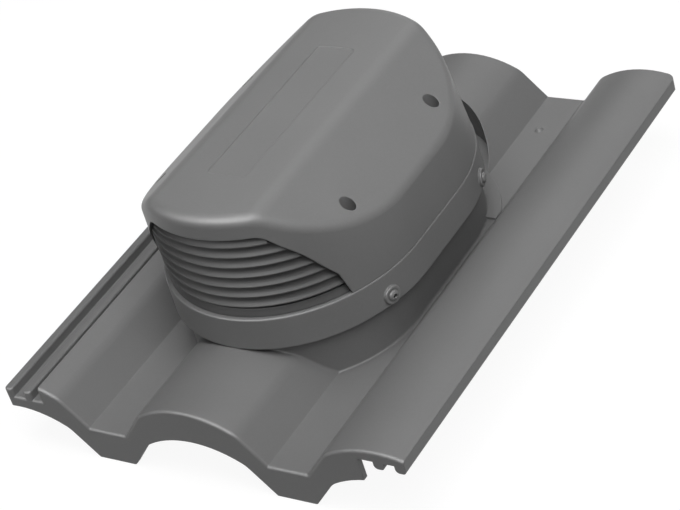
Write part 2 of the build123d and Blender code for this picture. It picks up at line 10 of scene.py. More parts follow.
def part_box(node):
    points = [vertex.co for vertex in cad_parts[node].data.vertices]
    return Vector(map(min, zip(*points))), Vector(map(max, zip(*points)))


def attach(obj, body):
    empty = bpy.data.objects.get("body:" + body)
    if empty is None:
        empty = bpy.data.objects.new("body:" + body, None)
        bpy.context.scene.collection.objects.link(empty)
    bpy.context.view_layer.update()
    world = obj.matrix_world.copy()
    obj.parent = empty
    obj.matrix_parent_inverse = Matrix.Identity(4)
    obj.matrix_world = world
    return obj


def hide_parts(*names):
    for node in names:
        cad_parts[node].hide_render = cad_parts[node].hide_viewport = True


bl_info = {
    "name": "Roof Tile Vent",
    "version": (1, 0, 0),
    "blender": (4, 5, 0),
    "location": "View3D > Sidebar > Roof Vent",
    "description": "Finishes, small parts and stage for a moulded plastic roof tile vent",
    "category": "Object",
}

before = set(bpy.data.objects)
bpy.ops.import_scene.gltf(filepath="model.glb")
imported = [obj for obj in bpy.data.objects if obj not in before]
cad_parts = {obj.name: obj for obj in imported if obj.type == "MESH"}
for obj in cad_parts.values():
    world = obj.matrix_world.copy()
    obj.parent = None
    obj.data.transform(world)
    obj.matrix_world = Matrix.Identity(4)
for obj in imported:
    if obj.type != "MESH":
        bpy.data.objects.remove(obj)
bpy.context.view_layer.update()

# Places are in metres, in the frame of the solids: the mouth faces -Y and up is +Z.
HOOD_CENTRE = Vector((-0.0072, -0.009, 0.0))
MOUTH_AXIS = Vector((-0.0072, -0.049, 0.0))
RING_TOP = 0.086

# Half width of the mouth, height above the ring and rounding of the corner, from its foot up.
MOUTH_LEVELS = (
    (0.0786, -0.002, 0.0),
    (0.0754, 0.019, 0.0014),
    (0.063, 0.0445, 0.0076),
    (0.0445, 0.0663, 0.0056),
)

# Section of a louvre: how far each point lies behind the nose, and its height.
LOUVRE_SECTION = (
    (0.0005, -0.0002),
    (0.0, 0.0003),
    (0.0001, 0.0009),
    (0.0009, 0.0016),
    (0.0018, 0.0026),
    (0.0025, 0.0038),
    (0.0030, 0.0051),
    (0.0034, 0.0064),
    (0.0040, 0.0074),
    (0.0076, 0.0078),
    (0.0076, 0.0063),
    (0.0053, 0.0060),
    (0.0048, 0.0052),
    (0.0044, 0.0038),
    (0.0036, 0.0023),
    (0.0025, 0.0009),
    (0.0014, -0.0001),
)
FOOT_BAND_SECTION = ((0.0, 0.0), (0.0024, 0.006), (0.0049, 0.006), (0.0049, 0.0))

# Section of the louvres' frame: distance from the mouth's axis and height above the ring.
FRAME_SECTION = ((0.0877, 0.0), (0.0861, 0.07), (0.0836, 0.07), (0.0852, 0.0))

# How far louvres and mesh reach to each side of straight ahead. The mesh is a sheet at one
# distance from the mouth's axis, and stands just clear of the ring.
GRILLE_HALF_ANGLE = math.radians(66.0)
MESH_HALF_ANGLE = math.radians(50.0)
MESH_REACH = 0.0817
MESH_FOOT = 0.0002
MESH_HEIGHT = 0.0625

# Where the screws sit, measured from the hood's centre, and how far the ring's screws turn
# from straight sideways.
RING_SCREW_PLACE = (0.090777, 0.0655, 0.068)
RING_SCREW_LEAN = math.radians(19.355)
RING_SCREW_LENGTH = 0.012
COVER_SCREW_ACROSS = (-0.0773, 0.0773)
COVER_SCREW_ALONG = (-0.0645, 0.0524)
COVER_SCREW_SEAT = 0.089
COVER_SCREW_LENGTH = 0.013
HAIRLINE = 0.00002  # keeps the faces of a screw and its seat from falling together

# Steps of the round forms.
GRILLE_STEPS = 72
SEAL_STEPS = 48
WASHER_STEPS = 40
SCREW_STEPS = 32

# Edges sharper than the first angle are rounded, and those past the second stay crisp.
ROUNDED_FROM = math.radians(50.0)
CRISP_FROM = math.radians(35.0)
MERGE_DISTANCE = 0.00001

# Place and size of the lamps, and place and share of the power of those for gloss alone.
LAMPS = {
    "key": ((1.35, -0.75, 2.3), 1.4),
    "top": ((0.1, -0.2, 2.7), 1.4),
    "side": ((2.4, 0.2, 1.2), 1.4),
    "rear": ((-0.6, 2.3, 1.5), 1.6),
}
GLEAM_LAMPS = (
    ((-1.35, -1.65, 1.15), 0.7),
    ((-0.3, -1.9, 1.7), 1.0),
    ((0.3, -1.5, 2.2), 0.9),
)
GLEAM_SIZE = 1.6
LAMP_AIM = Vector((0.0, 0.0, 0.05))


class VentFinish(bpy.types.PropertyGroup):
    """Colours and grain of the mouldings."""

    tile_colour: bpy.props.FloatVectorProperty(
        name="Tile Colour",
        description="Grey of the tile moulding",
        subtype="COLOR",
        size=3,
        min=0.0,
        max=1.0,
        default=(0.178, 0.178, 0.178),
    )
    hood_colour: bpy.props.FloatVectorProperty(
        name="Hood Colour",
        description="Grey of the ring and the hood",
        subtype="COLOR",
        size=3,
        min=0.0,
        max=1.0,
        default=(0.21, 0.21, 0.21),
    )
    # The louvres are the hood's plastic; this darker grey is painted shade of the hollow mouth
    # between the louvres.
    louvre_shaded_colour: bpy.props.FloatVectorProperty(
        name="Louvre Colour",
        description="Darker grey of the shade_darkened louvres",
        subtype="COLOR",
        size=3,
        min=0.0,
        max=1.0,
        default=(0.12, 0.12, 0.12),
    )
    duct_colour: bpy.props.FloatVectorProperty(
        name="Duct Colour",
        description="Grey of the duct piece in the throat",
        subtype="COLOR",
        size=3,
        min=0.0,
        max=1.0,
        default=(0.12, 0.12, 0.12),
    )
    mesh_colour: bpy.props.FloatVectorProperty(
        name="Mesh Colour",
        description="Grey of the insect mesh",
        subtype="COLOR",
        size=3,
        min=0.0,
        max=1.0,
        default=(0.05, 0.05, 0.05),
    )
    screw_colour: bpy.props.FloatVectorProperty(
        name="Screw Colour",
        description="Grey of the coating on the ring screws and washers",
        subtype="COLOR",
        size=3,
        min=0.0,
        max=1.0,
        default=(0.23, 0.23, 0.23),
    )
    roughness: bpy.props.FloatProperty(
        name="Roughness",
        description="Mean roughness of the mouldings",
        subtype="FACTOR",
        min=0.0,
        max=1.0,
        default=0.46,
    )
    grain_size: bpy.props.FloatProperty(
        name="Grain Size",
        description="Size of one pit of the moulded grain",
        subtype="DISTANCE",
        unit="LENGTH",
        min=0.0001,
        default=0.0008,
    )


class VentStage(bpy.types.PropertyGroup):
    """Camera and lamps."""

    lens: bpy.props.FloatProperty(
        name="Lens",
        description="Focal length of the camera on a 36 mm wide sensor",
        subtype="DISTANCE_CAMERA",
        min=1.0,
        default=124.34,
    )
    camera_place: bpy.props.FloatVectorProperty(
        name="Camera Place",
        description="Where the camera stands",
        subtype="TRANSLATION",
        unit="LENGTH",
        default=(0.89851, -1.04498, 1.00387),
    )
    key_energy: bpy.props.FloatProperty(
        name="Key Energy",
        description="Power of the large lamp on the right, in front",
        unit="POWER",
        min=0.0,
        default=29.0,
    )
    top_energy: bpy.props.FloatProperty(
        name="Top Energy",
        description="Power of the lamp overhead",
        unit="POWER",
        min=0.0,
        default=34.5,
    )
    side_energy: bpy.props.FloatProperty(
        name="Side Energy",
        description="Power of the lamp low on the right",
        unit="POWER",
        min=0.0,
        default=6.5,
    )
    rear_energy: bpy.props.FloatProperty(
        name="Rear Energy",
        description="Power of the lamp behind the vent",
        unit="POWER",
        min=0.0,
        default=11.0,
    )
    gleam_energy: bpy.props.FloatProperty(
        name="Gleam Energy",
        description="Power of each lamp that only lights the rounded front edges' gloss",
        unit="POWER",
        min=0.0,
        default=52.0,
    )
    sky_strength: bpy.props.FloatProperty(
        name="Sky Strength",
        description="Brightness of the even light from all round",
        min=0.0,
        default=0.07,
    )


class VentGrille(bpy.types.PropertyGroup):
    """Louvres in the hood's mouth and the insect mesh behind them."""

    louvre_count: bpy.props.IntProperty(
        name="Louvres",
        description="How many louvres fill the mouth",
        min=1,
        default=7,
    )
    louvre_pitch: bpy.props.FloatProperty(
        name="Louvre Pitch",
        description="Height from one louvre to the next",
        subtype="DISTANCE",
        unit="LENGTH",
        min=0.003,
        default=0.00833,
    )
    first_louvre: bpy.props.FloatProperty(
        name="First Louvre",
        description="Height of the lowest louvre's nose above the ring",
        subtype="DISTANCE",
        unit="LENGTH",
        default=0.0085,
    )
    nose_reach: bpy.props.FloatProperty(
        name="Nose Reach",
        description="Distance of the louvres' noses from the mouth's axis",
        subtype="DISTANCE",
        unit="LENGTH",
        default=0.0902,
    )
    end_gap: bpy.props.FloatProperty(
        name="End Gap",
        description="Gap between a louvre's end and the edge of the mouth",
        subtype="DISTANCE",
        unit="LENGTH",
        min=0.0,
        default=0.002,
    )
    mesh_pitch: bpy.props.FloatProperty(
        name="Mesh Pitch",
        description="Distance between the wires of the insect mesh",
        subtype="DISTANCE",
        unit="LENGTH",
        min=0.001,
        default=0.0022,
    )
    mesh_wire: bpy.props.FloatProperty(
        name="Mesh Wire",
        description="Thickness of the insect mesh's wires",
        subtype="DISTANCE",
        unit="LENGTH",
        min=0.0001,
        default=0.0006,
    )


class VentScrews(bpy.types.PropertyGroup):
    """Screws and washers."""

    head_radius: bpy.props.FloatProperty(
        name="Head Radius",
        description="Radius of a screw's domed head",
        subtype="DISTANCE",
        unit="LENGTH",
        default=0.004,
    )
    head_height: bpy.props.FloatProperty(
        name="Head Height",
        description="Height of a screw's domed head",
        subtype="DISTANCE",
        unit="LENGTH",
        default=0.0024,
    )
    shank_radius: bpy.props.FloatProperty(
        name="Shank Radius",
        description="Radius of a screw's shank",
        subtype="DISTANCE",
        unit="LENGTH",
        default=0.002,
    )
    socket_radius: bpy.props.FloatProperty(
        name="Socket Radius",
        description="Radius over the corners of a ring screw's six-sided socket",
        subtype="DISTANCE",
        unit="LENGTH",
        default=0.0018,
    )
    washer_radius: bpy.props.FloatProperty(
        name="Washer Radius",
        description="Outer radius of a washer under a ring screw",
        subtype="DISTANCE",
        unit="LENGTH",
        default=0.0068,
    )
    washer_wall: bpy.props.FloatProperty(
        name="Washer Thickness",
        description="Thickness of a washer under a ring screw",
        subtype="DISTANCE",
        unit="LENGTH",
        default=0.0016,
    )


def start_chain(name, first):
    """New object with one vertex at this point, open in edit mode."""
    bpy.ops.object.select_all(action="DESELECT")
    bpy.ops.mesh.primitive_plane_add(size=1.0, location=(0.0, 0.0, 0.0))
    piece = bpy.context.object
    piece.name = name
    bpy.ops.object.mode_set(mode="EDIT")
    bpy.ops.mesh.select_all(action="SELECT")
    bpy.ops.mesh.merge(type="CENTER")
    bpy.ops.transform.translate(value=first)
    return piece


def draw_chain(name, points, close):
    """Extrudes a vertex from point to point; close is "open", "loop" or "face"."""
    piece = start_chain(name, points[0])
    for last, point in zip(points, points[1:]):
        step = Vector(point) - Vector(last)
        bpy.ops.mesh.extrude_region_move(TRANSFORM_OT_translate={"value": step})
    if close == "loop":
        mesh = bmesh.from_edit_mesh(piece.data)
        mesh.verts.ensure_lookup_table()
        ends = [v for v in mesh.verts if len(v.link_edges) == 1]
        pick(piece, lambda place: any((place - end.co).length < 1e-7 for end in ends))
        bpy.ops.mesh.edge_face_add()
    bpy.ops.mesh.select_all(action="SELECT")
    if close == "face":
        bpy.ops.mesh.edge_face_add()
    return piece


def pick(piece, test):
    """Selects only the vertices whose place passes the test."""
    bpy.ops.mesh.select_mode(type="VERT")
    bpy.ops.mesh.select_all(action="DESELECT")
    mesh = bmesh.from_edit_mesh(piece.data)
    for vertex in mesh.verts:
        vertex.select = bool(test(vertex.co))
    mesh.select_flush_mode()
    bmesh.update_edit_mesh(piece.data)


def close_piece(piece):
    """Merges doubles, turns all faces outwards and leaves edit mode."""
    bpy.ops.mesh.select_all(action="SELECT")
    bpy.ops.mesh.remove_doubles(threshold=MERGE_DISTANCE)
    bpy.ops.mesh.select_all(action="SELECT")
    bpy.ops.mesh.normals_make_consistent(inside=False)
    bpy.ops.object.mode_set(mode="OBJECT")
    return piece


def cut(piece, cutter, operation):
    """Boolean of the piece with the cutter, which is used up."""
    modifier = piece.modifiers.new("cut", "BOOLEAN")
    modifier.operation = operation
    modifier.solver = "EXACT"
    modifier.object = cutter
    apply_modifier(piece, modifier)
    bpy.data.objects.remove(cutter)


def clean_cut(piece):
    """Splits the many-sided faces that a cut leaves, so that no sliver is left in the mesh."""
    bpy.ops.object.mode_set(mode="EDIT")
    bpy.ops.mesh.select_all(action="SELECT")
    bpy.ops.mesh.remove_doubles(threshold=3.0 * MERGE_DISTANCE)
    bpy.ops.mesh.quads_convert_to_tris(quad_method="BEAUTY", ngon_method="BEAUTY")
    bpy.ops.mesh.dissolve_degenerate(threshold=MERGE_DISTANCE)
    close_piece(piece)
    shade(piece)


def apply_modifier(piece, modifier):
    """Applies one modifier for good."""
    bpy.ops.object.select_all(action="DESELECT")
    piece.select_set(True)
    bpy.context.view_layer.objects.active = piece
    bpy.ops.object.modifier_apply(modifier=modifier.name)


def round_edges(piece, width, segments):
    """Rounds every sharp edge, then shades the piece."""
    modifier = piece.modifiers.new("round", "BEVEL")
    modifier.width = width
    modifier.segments = segments
    modifier.limit_method = "ANGLE"
    modifier.angle_limit = ROUNDED_FROM
    modifier.use_clamp_overlap = True
    apply_modifier(piece, modifier)
    shade(piece)


def shade(piece):
    """Smooth shading that keeps the sharp edges."""
    bpy.ops.object.select_all(action="DESELECT")
    piece.select_set(True)
    bpy.context.view_layer.objects.active = piece
    bpy.ops.object.shade_smooth_by_angle(angle=CRISP_FROM)


def join(pieces, name):
    """Joins the pieces into one object."""
    bpy.ops.object.select_all(action="DESELECT")
    for piece in pieces:
        piece.select_set(True)
    bpy.context.view_layer.objects.active = pieces[0]
    if len(pieces) > 1:
        bpy.ops.object.join()
    pieces[0].name = name
    return pieces[0]


def place_copies(pattern, turns, name):
    """Copies of the pattern, each with its own mesh at one of the places, joined."""
    copies = []
    for turn in turns:
        copy = pattern.copy()
        copy.data = pattern.data.copy()
        copy.data.transform(turn)
        bpy.context.collection.objects.link(copy)
        copies.append(copy)
    bpy.data.objects.remove(pattern)
    return join(copies, name)


def finish_piece(piece, material, node):
    """Gives the piece its material and puts it in its node's stead."""
    piece.data.materials.clear()
    piece.data.materials.append(material)
    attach(piece, "root")
    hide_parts(node)


def upright(profile):
    """Points in the XZ plane from (radius, height) pairs."""
    return [(radius, 0.0, height) for radius, height in profile]


def spin_about(centre, angle, steps):
    """Spins what is selected round an upright axis, counter-clockwise seen from above."""
    bpy.ops.mesh.spin(steps=steps, angle=-angle, center=centre, axis=(0.0, 0.0, 1.0))


def lathe(name, profile, steps):
    """Turns an open profile of (radius, height) points round the upright axis at the origin."""
    piece = draw_chain(name, upright(profile), "open")
    spin_about(Vector(), 2.0 * math.pi, steps)
    return close_piece(piece)


def draw_at_mouth(name, profile, close, half_angle):
    """Draws (reach, height) points in the upright plane at the mouth's left end."""
    points = [
        (
            MOUTH_AXIS.x - reach * math.sin(half_angle),
            MOUTH_AXIS.y - reach * math.cos(half_angle),
            RING_TOP + height,
        )
        for reach, height in profile
    ]
    return draw_chain(name, points, close)


def new_material(name):
    """New node material, with its nodes, its links and its shader."""
    material = bpy.data.materials.new(name)
    material.use_nodes = True
    nodes = material.node_tree.nodes
    return material, nodes, material.node_tree.links, nodes["Principled BSDF"]


def add_noise(nodes, links, place, scale, detail):
    """Noise texture on the object's own coordinates."""
    noise = nodes.new("ShaderNodeTexNoise")
    noise.inputs["Scale"].default_value = scale
    noise.inputs["Detail"].default_value = detail
    links.new(place.outputs["Object"], noise.inputs["Vector"])
    return noise


def add_tone(nodes, links, factor, colour, darkest, lightest):
    """Colour that varies between two shades of itself, given as shares of its brightness."""
    tone = nodes.new("ShaderNodeMix")
    tone.data_type = "RGBA"
    for socket, share in (("A", darkest), ("B", lightest)):
        shade_of_it = [min(1.0, share * channel) for channel in colour]
        tone.inputs[socket].default_value = (*shade_of_it, 1.0)
    links.new(factor, tone.inputs["Factor"])
    return tone


def add_bump(nodes, links, height, strength, distance):
    """Bump from this height, so deep at its full strength."""
    bump = nodes.new("ShaderNodeBump")
    bump.inputs["Strength"].default_value = strength
    bump.inputs["Distance"].default_value = distance
    links.new(height, bump.inputs["Height"])
    return bump


def add_range(nodes, links, source, low, high):
    """Maps a value from 0..1 to low..high."""
    mapped = nodes.new("ShaderNodeMapRange")
    mapped.inputs["To Min"].default_value = low
    mapped.inputs["To Max"].default_value = high
    links.new(source, mapped.inputs["Value"])
    return mapped


def moulded_plastic(name, colour, roughness, grain_size):
    """Matt moulding: pitted grain, faint flow clouds and slightly rounded edges, lighter partly
    from wear and partly as a painted highlight.
    """
    material, nodes, links, shader = new_material(name)
    place = nodes.new("ShaderNodeTexCoord")

    # Flow clouds a hand wide, with specks twice the size of the grain.
    clouds = add_noise(nodes, links, place, scale=14.0, detail=3.0)
    specks = add_noise(nodes, links, place, scale=0.5 / grain_size, detail=2.0)
    blend = nodes.new("ShaderNodeMix")
    blend.inputs["Factor"].default_value = 0.4
    links.new(clouds.outputs["Fac"], blend.inputs["A"])
    links.new(specks.outputs["Fac"], blend.inputs["B"])
    tone = add_tone(nodes, links, blend.outputs["Result"], colour, darkest=0.9, lightest=1.1)

    # An edge is where the rounded normal leaves the true one, and there the colour is lighter:
    # partly rubbed wear, partly a painted highlight of light catching the edge.
    rounded = nodes.new("ShaderNodeBevel")
    rounded.samples = 6
    rounded.inputs["Radius"].default_value = 0.0009
    surface = nodes.new("ShaderNodeNewGeometry")
    likeness = nodes.new("ShaderNodeVectorMath")
    likeness.operation = "DOT_PRODUCT"
    links.new(rounded.outputs["Normal"], likeness.inputs[0])
    links.new(surface.outputs["Normal"], likeness.inputs[1])
    edge = add_range(nodes, links, likeness.outputs["Value"], low=0.0, high=0.35)
    edge.inputs["From Min"].default_value = 0.995
    edge.inputs["From Max"].default_value = 0.85
    # Painted highlight and wear together: convex edges up to half again as light as the moulding.
    worn_and_lit_edge = add_tone(nodes, links, edge.outputs["Result"], colour, darkest=1.0, lightest=1.5)
    links.new(tone.outputs["Result"], worn_and_lit_edge.inputs["A"])
    links.new(worn_and_lit_edge.outputs["Result"], shader.inputs["Base Color"])

    # Patches of slightly different gloss.
    spread = 0.06
    patches = add_noise(nodes, links, place, scale=45.0, detail=4.0)
    gloss = add_range(nodes, links, patches.outputs["Fac"], roughness - spread, roughness + spread)
    links.new(gloss.outputs["Result"], shader.inputs["Roughness"])

    # The pitted grain, on edges that look slightly rounded.
    pits = nodes.new("ShaderNodeTexVoronoi")
    pits.feature = "SMOOTH_F1"
    pits.inputs["Scale"].default_value = 1.0 / grain_size
    links.new(place.outputs["Object"], pits.inputs["Vector"])
    bump = add_bump(nodes, links, pits.outputs["Distance"], strength=0.12, distance=0.0001)
    links.new(rounded.outputs["Normal"], bump.inputs["Normal"])
    links.new(bump.outputs["Normal"], shader.inputs["Normal"])
    return material


def soft_rubber(name, colour):
    """Closed-cell rubber with fine open pores on its cut faces."""
    material, nodes, links, shader = new_material(name)
    place = nodes.new("ShaderNodeTexCoord")
    pores = nodes.new("ShaderNodeTexVoronoi")
    pores.inputs["Scale"].default_value = 1600.0
    links.new(place.outputs["Object"], pores.inputs["Vector"])
    tone = add_tone(nodes, links, pores.outputs["Distance"], colour, darkest=0.6, lightest=1.6)
    links.new(tone.outputs["Result"], shader.inputs["Base Color"])
    gloss = add_range(nodes, links, pores.outputs["Distance"], low=0.95, high=0.7)
    links.new(gloss.outputs["Result"], shader.inputs["Roughness"])
    bump = add_bump(nodes, links, pores.outputs["Distance"], strength=0.3, distance=0.0002)
    links.new(bump.outputs["Normal"], shader.inputs["Normal"])
    return material


def turned_steel(name, colour):
    """Plain steel with fine marks of the tool and a little tarnish."""
    material, nodes, links, shader = new_material(name)
    place = nodes.new("ShaderNodeTexCoord")
    tarnish = add_noise(nodes, links, place, scale=260.0, detail=4.0)
    tone = add_tone(nodes, links, tarnish.outputs["Fac"], colour, darkest=0.75, lightest=1.0)
    links.new(tone.outputs["Result"], shader.inputs["Base Color"])
    marks = add_noise(nodes, links, place, scale=2500.0, detail=2.0)
    gloss = add_range(nodes, links, marks.outputs["Fac"], low=0.25, high=0.45)
    links.new(gloss.outputs["Result"], shader.inputs["Roughness"])
    bump = add_bump(nodes, links, marks.outputs["Fac"], strength=0.15, distance=0.00005)
    links.new(bump.outputs["Normal"], shader.inputs["Normal"])
    shader.inputs["Metallic"].default_value = 1.0
    return material


def dress(names, material):
    """Gives these CAD nodes one material."""
    for name in names:
        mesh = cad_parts[name].data
        mesh.materials.clear()
        mesh.materials.append(material)


def plastic_of(name, colour, finish):
    """Moulded plastic of this colour, made once and then found by its name."""
    found = bpy.data.materials.get(name)
    return found or moulded_plastic(name, colour, finish.roughness, finish.grain_size)


class VENT_OT_finishes(bpy.types.Operator):
    """Gives each moulding that stays as it is its material"""

    bl_idname = "vent.finishes"
    bl_label = "Apply Finishes"

    def execute(self, context):
        finish = context.scene.vent_finish
        dress(["base_tile"], plastic_of("tile_moulding", finish.tile_colour, finish))
        dress(["hood_ring", "hood_cover"], plastic_of("hood_moulding", finish.hood_colour, finish))
        dress(["duct_spigot"], plastic_of("duct_moulding", finish.duct_colour, finish))
        return {"FINISHED"}


def mouth_cutter(inset):
    """Prism through the hood's front with the mouth's outline, this far inside its edge."""
    *sides, (top_half, top_height, top_corner) = MOUTH_LEVELS
    levels = (*sides, (top_half, top_height - inset, top_corner))
    lean = 1.1  # the mouth's sides lean, so level across the gap is this much wider
    right = [(half - lean * inset, height) for half, height, corner in levels]
    outline = [(-half, height) for half, height in right] + right[::-1]
    inner_end, length = MOUTH_AXIS.y - 0.02, 0.1
    points = [
        (MOUTH_AXIS.x + across, inner_end, RING_TOP + height) for across, height in outline
    ]
    cutter = draw_chain("mouth_cutter", points, "face")
    for half, height, corner in levels:
        if corner:
            level = RING_TOP + height
            pick(cutter, lambda place: abs(place.z - level) < 1e-5)
            bpy.ops.mesh.bevel(offset=corner, segments=6, affect="VERTICES")
    bpy.ops.mesh.select_all(action="SELECT")
    bpy.ops.mesh.extrude_region_move(TRANSFORM_OT_translate={"value": (0.0, -length, 0.0)})
    return close_piece(cutter)


class VENT_OT_louvres(bpy.types.Operator):
    """Models the louvres, their foot band and the frame behind the mouth"""

    bl_idname = "vent.louvres"
    bl_label = "Model Louvres"

    def execute(self, context):
        grille = context.scene.vent_grille
        finish = context.scene.vent_finish
        blades = self.spin_blades(grille)
        cut(blades, mouth_cutter(grille.end_gap), "INTERSECT")
        round_edges(blades, width=0.0006, segments=3)
        frame_band = self.spin_row("louvre_frame", FRAME_SECTION, rounding=0.0002)
        overlap = 0.003
        cut(frame_band, mouth_cutter(-overlap), "INTERSECT")
        cut(frame_band, mouth_cutter(overlap), "DIFFERENCE")
        round_edges(frame_band, width=0.0003, segments=2)
        piece = join([blades, frame_band], "louvres")
        # Painted shade: the louvres get a darker grey than the hood's plastic, standing in for the
        # shade inside the mouth.
        matt = plastic_of("louvre_moulding", finish.louvre_shaded_colour, finish)
        matt.node_tree.nodes["Principled BSDF"].inputs["Specular IOR Level"].default_value = 0.15
        finish_piece(piece, matt, "louvre_grille")
        return {"FINISHED"}

    def spin_blades(self, grille):
        """Hooked louvres and the foot band, from side to side behind the hood's front."""
        rows = []
        for step in range(grille.louvre_count):
            foot = grille.first_louvre + step * grille.louvre_pitch
            profile = [(grille.nose_reach - back, foot + up) for back, up in LOUVRE_SECTION]
            rows.append(self.spin_row("louvre", profile, rounding=0.0002))
        profile = [(grille.nose_reach - back, up) for back, up in FOOT_BAND_SECTION]
        rows.append(self.spin_row("foot_band", profile, rounding=0.0008))
        return join(rows, "louvre_rows")

    def spin_row(self, name, profile, rounding):
        """One closed profile with rounded corners, spun round the mouth's axis."""
        row = draw_at_mouth(name, profile, "face", GRILLE_HALF_ANGLE)
        bpy.ops.mesh.bevel(offset=rounding, segments=3, affect="VERTICES")
        bpy.ops.mesh.select_all(action="SELECT")
        spin_about(MOUTH_AXIS, 2.0 * GRILLE_HALF_ANGLE, GRILLE_STEPS)
        return close_piece(row)


class VENT_OT_insect_mesh(bpy.types.Operator):
    """Models the insect mesh behind the louvres"""

    bl_idname = "vent.insect_mesh"
    bl_label = "Model Insect Mesh"

    def execute(self, context):
        grille = context.scene.vent_grille
        finish = context.scene.vent_finish
        rows = round(MESH_HEIGHT / grille.mesh_pitch)
        columns = round(2.0 * MESH_HALF_ANGLE * MESH_REACH / grille.mesh_pitch)
        edge = [
            (MESH_REACH, MESH_FOOT + MESH_HEIGHT * row / rows) for row in range(rows + 1)
        ]
        piece = draw_at_mouth("insect_screen", edge, "open", MESH_HALF_ANGLE)
        spin_about(MOUTH_AXIS, 2.0 * MESH_HALF_ANGLE, columns)
        close_piece(piece)
        wires = piece.modifiers.new("wires", "WIREFRAME")
        wires.thickness = grille.mesh_wire
        wires.use_replace = True
        wires.use_boundary = True
        wires.use_even_offset = False
        apply_modifier(piece, wires)
        bpy.ops.object.mode_set(mode="EDIT")
        close_piece(piece)
        shade(piece)
        strands = plastic_of("mesh_moulding", finish.mesh_colour, finish)
        finish_piece(piece, strands, "insect_mesh")
        return {"FINISHED"}


class VENT_OT_seal(bpy.types.Operator):
    """Models the soft seal between the upstand and the ring"""

    bl_idname = "vent.seal"
    bl_label = "Model Seal"

    def execute(self, context):
        low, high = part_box("upstand_seal")
        outer = (high[0] - low[0]) / 2.0
        inner = outer - 0.0028
        straight = high[1] - low[1] - 2.0 * outer
        in_step, up_step = 0.0004, 0.0005  # bevel of the four long edges
        section = (
            (outer - in_step, low[2]),
            (outer, low[2] + up_step),
            (outer, high[2] - up_step),
            (outer - in_step, high[2]),
            (inner + in_step, high[2]),
            (inner, high[2] - up_step),
            (inner, low[2] + up_step),
            (inner + in_step, low[2]),
        )
        front = Vector((HOOD_CENTRE.x, HOOD_CENTRE.y - straight / 2.0, 0.0))
        rear = Vector((HOOD_CENTRE.x, HOOD_CENTRE.y + straight / 2.0, 0.0))
        points = [(front.x + reach, front.y, height) for reach, height in section]
        piece = draw_chain("soft_seal", points, "loop")
        bpy.ops.mesh.extrude_region_move(TRANSFORM_OT_translate={"value": rear - front})
        spin_about(rear, math.pi, SEAL_STEPS)
        bpy.ops.mesh.extrude_region_move(TRANSFORM_OT_translate={"value": front - rear})
        spin_about(front, math.pi, SEAL_STEPS)
        close_piece(piece)
        shade(piece)
        rubber = soft_rubber("seal_rubber", (0.02, 0.02, 0.02))
        finish_piece(piece, rubber, "upstand_seal")
        return {"FINISHED"}


def domed_screw(screws, length):
    """Screw with a domed head and a tapered tip, its seat at the origin and its head up."""
    dome = []
    dome_steps = 6
    for step in range(dome_steps + 1):
        turn = step * math.pi / (2.0 * dome_steps)
        dome.append((screws.head_radius * math.sin(turn), screws.head_height * math.cos(turn)))
    shank, tip = screws.shank_radius, 0.002
    profile = dome + [
        (screws.head_radius - 0.0002, -HAIRLINE),
        (shank, -HAIRLINE),
        (shank, tip - length),
        (0.4 * shank, -length),
        (0.0, -length),
    ]
    return lathe("screw", profile, SCREW_STEPS)


def dished_washer(screws):
    """Washer with a raised rim, which stands on the origin round a screw."""
    wall, rim = screws.washer_wall, screws.washer_radius
    bore = screws.shank_radius + 0.0001
    section = (
        (bore, HAIRLINE),
        (rim - 0.0003, HAIRLINE),
        (rim, 0.0004),
        (rim, wall - 0.0007),
        (rim - 0.00025, wall - 0.00025),
        (rim - 0.0009, wall),
        (rim - 0.0017, wall - 0.0001),
        (rim - 0.0024, wall - 0.0005),
        (bore, wall - 0.0005),
    )
    washer = draw_chain("washer", upright(section), "loop")
    spin_about(Vector(), 2.0 * math.pi, WASHER_STEPS)
    close_piece(washer)
    shade(washer)
    return washer


def prism_cutter(corners, radius, depth, top):
    """Upright prism round the axis, whose lower half cuts this deep below the top."""
    bpy.ops.object.select_all(action="DESELECT")
    bpy.ops.mesh.primitive_cylinder_add(
        vertices=corners,
        radius=radius,
        depth=2.0 * depth,
        location=(0.0, 0.0, top),
    )
    bpy.ops.object.transform_apply(location=True, rotation=True, scale=True)
    return bpy.context.object


def ring_screw_turns(proud):
    """Placements at the ring's four screws, facing out and this far proud of the ring's edge."""
    across, along, height = RING_SCREW_PLACE
    lean_x, lean_y = math.cos(RING_SCREW_LEAN), math.sin(RING_SCREW_LEAN)
    across += proud * lean_x
    along += proud * lean_y
    turns = []
    for side in (-1.0, 1.0):
        for end in (-1.0, 1.0):
            place = HOOD_CENTRE + Vector((side * across, end * along, height))
            outward = Vector((side * lean_x, end * lean_y, 0.0))
            aim = outward.to_track_quat("Z", "Y").to_matrix().to_4x4()
            turns.append(Matrix.Translation(place) @ aim)
    return turns


class VENT_OT_ring_screws(bpy.types.Operator):
    """Models the ring's four screws and their washers"""

    bl_idname = "vent.ring_screws"
    bl_label = "Model Ring Screws"

    def execute(self, context):
        screws = context.scene.vent_screws
        finish = context.scene.vent_finish
        coating = plastic_of("screw_coating", finish.screw_colour, finish)
        pad_height = 0.0008  # the ring's pad under each washer
        turns = ring_screw_turns(pad_height)
        washers = place_copies(dished_washer(screws), turns, "dished_washers")
        finish_piece(washers, coating, "ring_screw_washers")
        sunk, socket_depth = 0.0003, 0.0036  # the head's foot lies in the washer's dish
        screw = domed_screw(screws, RING_SCREW_LENGTH)
        socket = prism_cutter(6, screws.socket_radius, socket_depth, screws.head_height)
        cut(screw, socket, "DIFFERENCE")
        clean_cut(screw)
        turns = ring_screw_turns(pad_height + screws.washer_wall - sunk)
        placed = place_copies(screw, turns, "socket_screws")
        finish_piece(placed, coating, "ring_screws")
        return {"FINISHED"}


